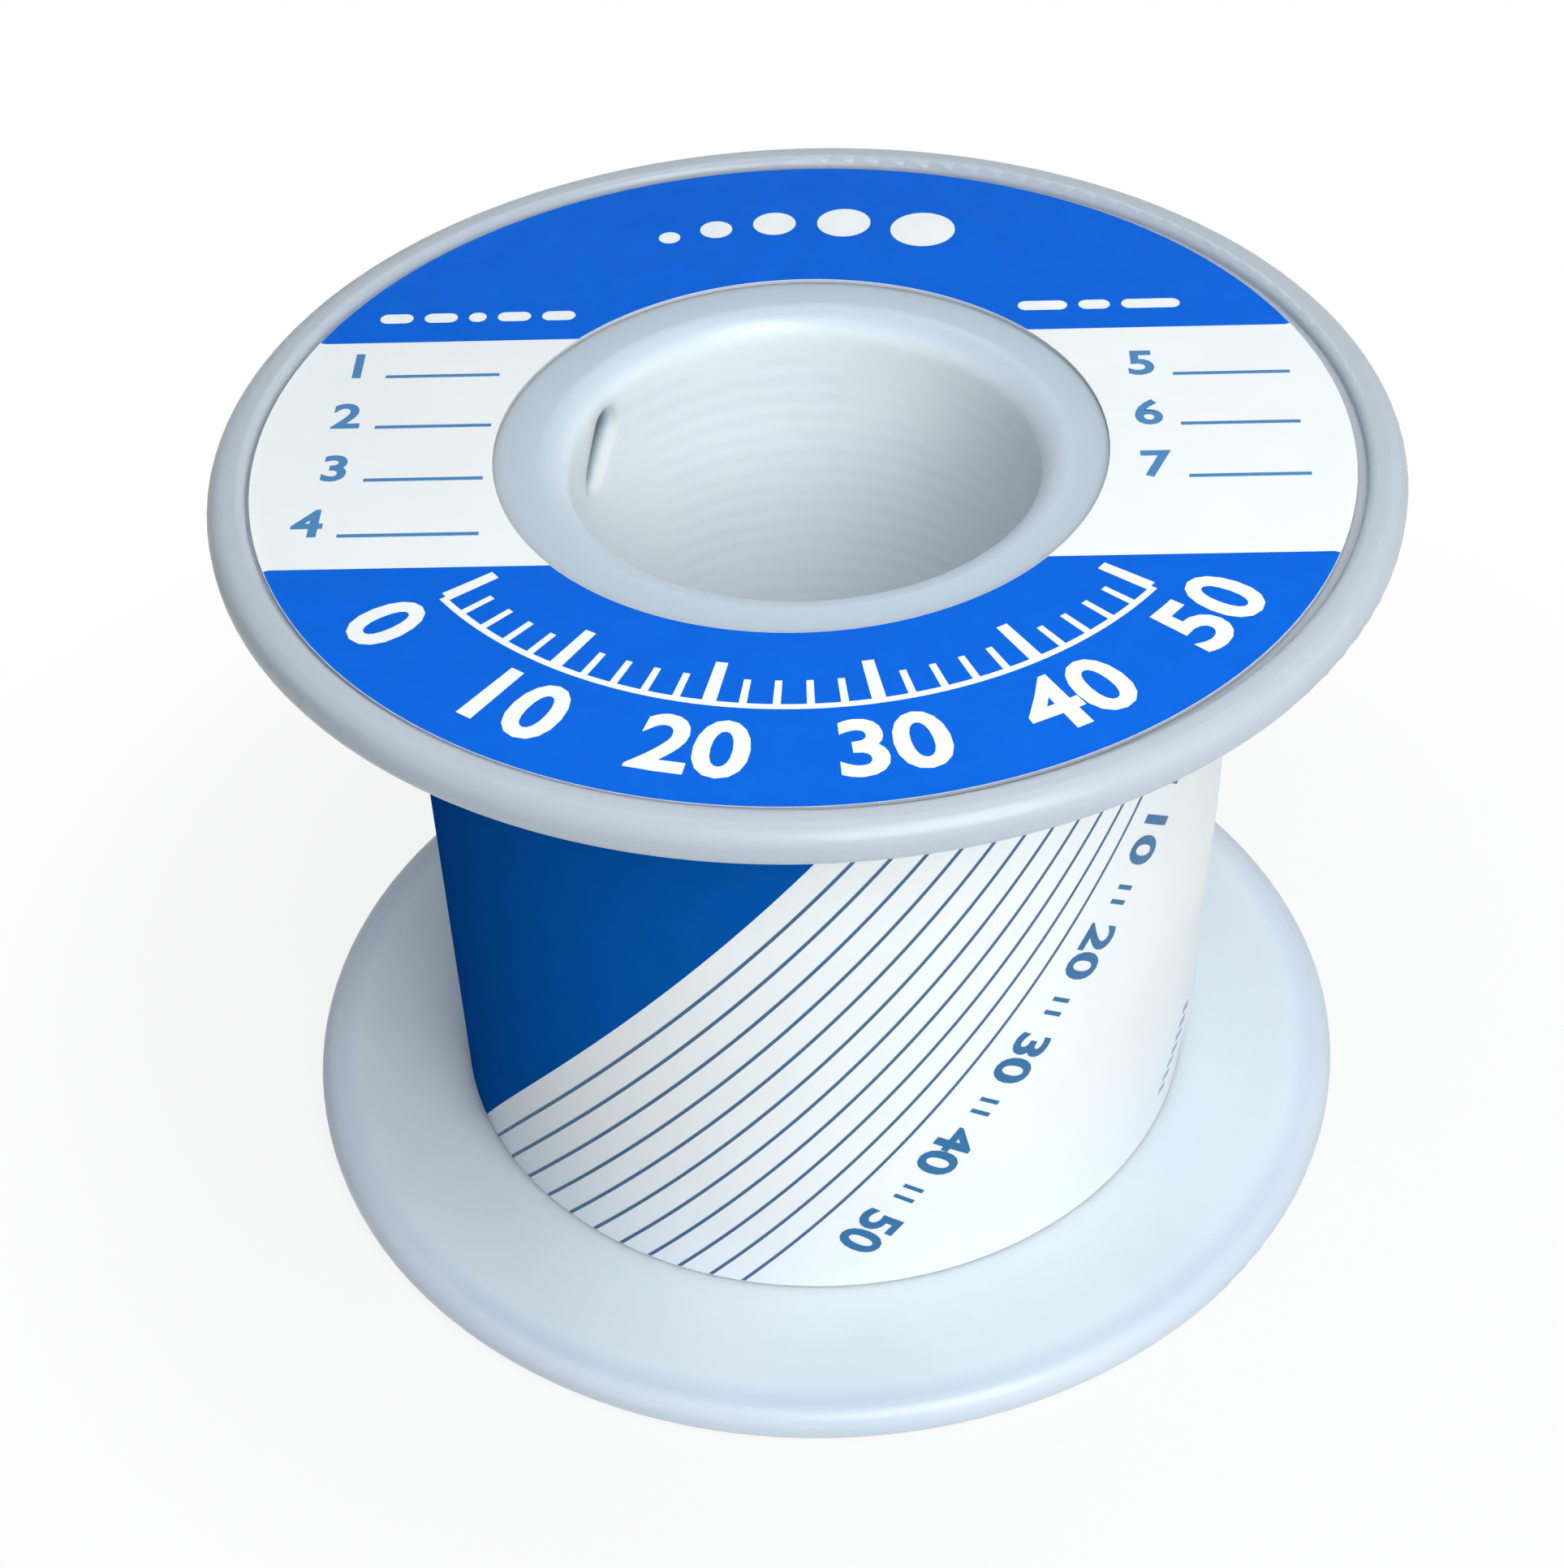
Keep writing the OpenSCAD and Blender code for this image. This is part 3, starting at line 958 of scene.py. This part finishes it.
def wrap_the_label(scene):
    """The label round the wire: paper, the blue corner, fine lines, figures and faint marks."""
    label = scene.wrap_print
    low, high = WRAP_LOW.z, WRAP_HIGH.z
    turn = np.linspace(SEAM, SEAM + 2 * np.pi + LAP, 300)[:, None]
    height = np.linspace(low, high, 40)
    paper = coated_paper("wrap_paper", label.paper, label.roughness, gloss=0.45)
    sheet = closed_sheet(wrap_surface(turn, height), wrap_surface(turn, height, -label.thickness))
    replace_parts(add_piece("wrap_label_paper", sheet, paper), "wrap_label")

    trim = 0.04 * MM
    heights = np.linspace(low + trim, high - trim, 50)
    part = np.linspace(0, 1, 120)[:, None]
    start = (SEAM + LAP - 2 * np.pi) * WRAP_R + 0.1 * MM
    arcs = start + part * (blue_edge(label, heights) - start)
    corner = together(arcs, heights)
    blue = printed_ink("wrap_blue", label.blue, roughness=0.5, gloss=0.0)
    add_piece("wrap_blue_corner", inked([corner], on_wrap), blue)

    step = label.pitch / math.sin(label.lean)
    wide = label.line_width / math.sin(label.lean)
    lines = []
    for number in range(1, LINES + 1):
        middle = blue_edge(label, heights) + number * step
        sides = [together(middle + side * wide / 2, heights) for side in (-1, 1)]
        lines.append(np.stack(sides, axis=1))
    line_ink = printed_ink("wrap_lines", label.line, label.roughness, gloss=0.3)
    add_piece("wrap_fine_lines", inked(lines, on_wrap), line_ink)

    figure_ink = printed_ink("wrap_figures", label.figure, label.roughness, gloss=0.3)
    add_piece("wrap_figures", wrap_figures(label), figure_ink, smooth=False)
    add_piece("wrap_figure_ticks", inked(wrap_ticks(label), on_wrap), figure_ink)
    faint = printed_ink("wrap_faint_marks", label.faint, label.roughness, gloss=0.3)
    add_piece("wrap_faint_marks", inked(faint_marks(), on_wrap), faint)
    add_piece("wrap_form_rules", inked(form_rules(), on_wrap), line_ink)


def row_place(label, along, across):
    """Plan point (arc, height) beside the fine lines: along them from the label's foot, downwards if
    negative, and across from the last line."""
    foot = WRAP_LOW.z
    last = LINES * label.pitch / math.sin(label.lean)
    cos, sin = math.cos(label.lean), math.sin(label.lean)
    arc = blue_edge(label, foot) + last + along * cos + across * sin
    return together(arc, foot + along * sin - across * cos)


# The row of figures: its distance from the last line, and along the lines its first figure's place
# and the way from one figure to the next
FIGURE_ROW = 2.3 * MM
FIRST_FIGURE = 34.5 * MM
FIGURE_STEP = 5.6 * MM


def wrap_figures(label):
    """Figures in a row along the fine lines, read downwards, with their tops away from the lines."""
    parts = []
    for number in range(6):
        points, quads = figure_solid(str(10 * number), label.figure_height, WRAP_FINEST)
        x, y, top = points.T
        plan = row_place(label, FIRST_FIGURE - FIGURE_STEP * number - x, FIGURE_ROW + y)
        parts.append((on_wrap(plan, top * 2 * INK), quads))
    return joined(parts)


def wrap_ticks(label):
    """Two short ticks between each pair of figures."""
    ticks = []
    for number in range(5):
        for shift in (-0.35 * MM, 0.35 * MM):
            along = FIRST_FIGURE - FIGURE_STEP * (number + 0.5) + shift
            ends = [row_place(label, along, FIGURE_ROW + side * 0.55 * MM) for side in (-1, 1)]
            ticks.append(stroke(*ends, 0.22 * MM))
    return ticks


def faint_marks():
    """A short row of faint blocks low on the right, along the fine lines' slope."""
    marks = []
    for number in range(7):
        arc, height = (-8.4 + 0.36 * number) * MM, (3.6 + 0.58 * number) * MM
        marks.append(stroke((arc, height), (arc + 0.08 * MM, height + 0.34 * MM), 0.8 * MM))
    return marks


def form_rules():
    """Blank ruled rows on the back of the label, between its right side and the seam."""
    start, end = 9 * MM, (SEAM - 0.12) * WRAP_R
    rows = np.arange(8.0, 29.0, 3.4) * MM
    return [stroke((start, height), (end, height), 0.16 * MM, 40) for height in rows]


# Stage


# Turns of the camera about its own axes
PAN = 0.0120
TILT = -0.1198
ROLL = 0.0361


def make_camera(look):
    """Camera that looks at the middle of the label's top, then is panned about its up, tilted about
    its right and rolled about the way ahead."""
    back = Vector((0, -math.cos(look.camera_height), math.sin(look.camera_height)))
    right = Vector((1, 0, 0))
    axes = [right, right.cross(-back), -back]
    for number, turn in ((1, PAN), (0, TILT), (2, ROLL)):
        rotation = Matrix.Rotation(turn, 3, axes[number])
        axes = [rotation @ axis for axis in axes]
    right, up, ahead = axes
    data = bpy.data.cameras.new("camera")
    data.lens = look.lens
    data.sensor_width = 36
    data.clip_start, data.clip_end = 1 * MM, 20
    camera = show("camera", data)
    place = Matrix((right, up, -ahead)).transposed().to_4x4()
    place.translation = Vector((0, 0, FACE_HIGH.z)) + back * look.camera_distance
    camera.matrix_world = place
    bpy.context.scene.camera = camera


def area_lamp(name, direction, elevation, distance, size, power):
    """Square lamp that faces the reel's middle from a direction and an elevation, in degrees."""
    data = bpy.data.lights.new(name, "AREA")
    data.energy = power
    data.size = size
    lamp = show(name, data)
    turn, rise = math.radians(direction), math.radians(elevation)
    way = Vector((math.cos(turn) * math.cos(rise), math.sin(turn) * math.cos(rise), math.sin(rise)))
    lamp.location = way * distance + Vector((0, 0, REEL_H / 2))
    lamp.rotation_euler = way.to_track_quat("Z", "Y").to_euler()
    lamp.visible_camera = False


def seen_directly(tree):
    """Socket that is 1 for camera, glossy and transmission rays."""
    path = add_node(tree, "ShaderNodeLightPath").outputs
    seen = path["Is Camera Ray"]
    for name in ("Is Glossy Ray", "Is Transmission Ray"):
        either = {0: seen, 1: path[name]}
        seen = add_node(tree, "ShaderNodeMath", either, operation="MAXIMUM").outputs[0]
    return seen


def make_world(look):
    """Even light of the fill's colour, seen directly as plain white."""
    world = bpy.data.worlds.new("studio")
    world.use_nodes = True
    tree = world.node_tree
    colours = {"Factor": seen_directly(tree), 6: (*look.fill, 1), 7: (1, 1, 1, 1)}
    light = add_node(tree, "ShaderNodeMix", colours, data_type="RGBA").outputs[2]
    feed(tree, tree.nodes["Background"].inputs["Color"], light)
    bpy.context.scene.world = world


def white_floor():
    """Pale floor that keeps the reel's shadow near it, and seen directly turns plain white further
    out."""
    finish = Finish("white_floor")
    grain = finish.noise(2 * MM)
    finish.set(
        Base_Color=finish.mix(grain, (0.78, 0.785, 0.79), (0.765, 0.77, 0.775)),
        Roughness=0.9,
        Specular_IOR_Level=0.0,
    )
    glow = finish.add("ShaderNodeEmission", {"Color": (1, 1, 1, 1), "Strength": 1.0})
    x, y, _ = finish.axes()
    share_white = finish.spread(finish.distance(x, y), 24 * MM, 60 * MM, 0.86, 1.0)
    factor = finish.times(share_white, seen_directly(finish.tree))
    shaders = {0: factor, 1: finish.shader.outputs[0], 2: glow.outputs[0]}
    mixed = finish.add("ShaderNodeMixShader", shaders).outputs[0]
    feed(finish.tree, finish.tree.nodes["Material Output"].inputs["Surface"], mixed)
    return finish.material


def make_floor():
    """Round floor: a grid of (radius, angle) whose rings widen outwards."""
    rings, sides = 24, 96
    radius = np.geomspace(4 * MM, 3.0, rings)[:, None]
    turn = np.linspace(0, 2 * np.pi, sides, endpoint=False)
    points = round_points(radius, turn, 0).reshape(-1, 3)
    faces = grid_quads(rings, sides, round_columns=True).tolist()
    faces.append(list(range(sides))[::-1])
    mesh = bpy.data.meshes.new("floor")
    mesh.from_pydata(points.tolist(), [], faces)
    mesh.update()
    mesh.materials.append(white_floor())
    floor = show("floor", mesh)


def make_stage(scene):
    """Camera, floor, lamps and world."""
    look = scene.reel_stage
    scene.view_settings.view_transform = "Standard"
    make_camera(look)
    make_floor()
    make_world(look)
    area_lamp("front_lamp", -70, 37, 0.2, 0.12, look.front_power)
    area_lamp("high_lamp", -56, 63, 0.2, 0.05, look.high_power)
    area_lamp("back_lamp", 85, 62, 0.3, 0.2, look.back_power)


# Operators and panel


class DressReel(Operator):
    """Give the moulded reel its milky plastic"""

    bl_idname = "solder_reel.dress_reel"
    bl_label = "Moulded reel"
    bl_options = {"REGISTER", "UNDO"}

    def execute(self, context):
        dress_reel(context.scene)
        return {"FINISHED"}


class WindWire(Operator):
    """Wind the wire: its outer turns, its inner layers and its start in the slot"""

    bl_idname = "solder_reel.wind_wire"
    bl_label = "Solder wire"
    bl_options = {"REGISTER", "UNDO"}

    def execute(self, context):
        wind_outer_turns(context.scene)
        wind_inner_layers(context.scene)
        lay_wire_start(context.scene)
        return {"FINISHED"}


class PrintFaceLabel(Operator):
    """Print the ring label on the top flange"""

    bl_idname = "solder_reel.print_face_label"
    bl_label = "Face label"
    bl_options = {"REGISTER", "UNDO"}

    def execute(self, context):
        print_face_label(context.scene)
        return {"FINISHED"}


class WrapLabel(Operator):
    """Wrap the printed label round the wire"""

    bl_idname = "solder_reel.wrap_label"
    bl_label = "Wrap label"
    bl_options = {"REGISTER", "UNDO"}

    def execute(self, context):
        wrap_the_label(context.scene)
        return {"FINISHED"}


class SetStage(Operator):
    """Set up the floor, the lights and the camera"""

    bl_idname = "solder_reel.set_stage"
    bl_label = "Stage"
    bl_options = {"REGISTER", "UNDO"}

    def execute(self, context):
        make_stage(context.scene)
        return {"FINISHED"}


# The property group of each step, and its name on the scene
STEPS = {
    DressReel: ("reel_finish", ReelFinish),
    WindWire: ("reel_wire", WireSizes),
    PrintFaceLabel: ("face_print", FacePrint),
    WrapLabel: ("wrap_print", WrapPrint),
    SetStage: ("reel_stage", ReelStage),
}
GROUPS = dict(STEPS.values())


class ReelPanel(Panel):
    """Each step of dressing the reel, with its sizes and colours"""

    bl_idname = "VIEW3D_PT_solder_reel"
    bl_label = "Solder wire reel"
    bl_space_type = "VIEW_3D"
    bl_region_type = "UI"
    bl_category = "Reel"

    def draw(self, context):
        for step, (group_name, _) in STEPS.items():
            box = self.layout.box()
            box.operator(step.bl_idname)
            group = getattr(context.scene, group_name)
            for name in type(group).__annotations__:
                box.prop(group, name)


CLASSES = (*GROUPS.values(), *STEPS, ReelPanel)


def register():
    """Registers the classes and puts each property group on the scene."""
    for kind in CLASSES:
        bpy.utils.register_class(kind)
    for name, group in GROUPS.items():
        setattr(bpy.types.Scene, name, PointerProperty(type=group))


def unregister():
    """Takes back what register did."""
    for name in GROUPS:
        delattr(bpy.types.Scene, name)
    for kind in reversed(CLASSES):
        bpy.utils.unregister_class(kind)


def main():
    """Dresses the reel step by step and sets the stage."""
    register()
    bpy.ops.solder_reel.dress_reel()
    bpy.ops.solder_reel.wind_wire()
    bpy.ops.solder_reel.print_face_label()
    bpy.ops.solder_reel.wrap_label()
    bpy.ops.solder_reel.set_stage()


if __name__ == "__main__":
    main()
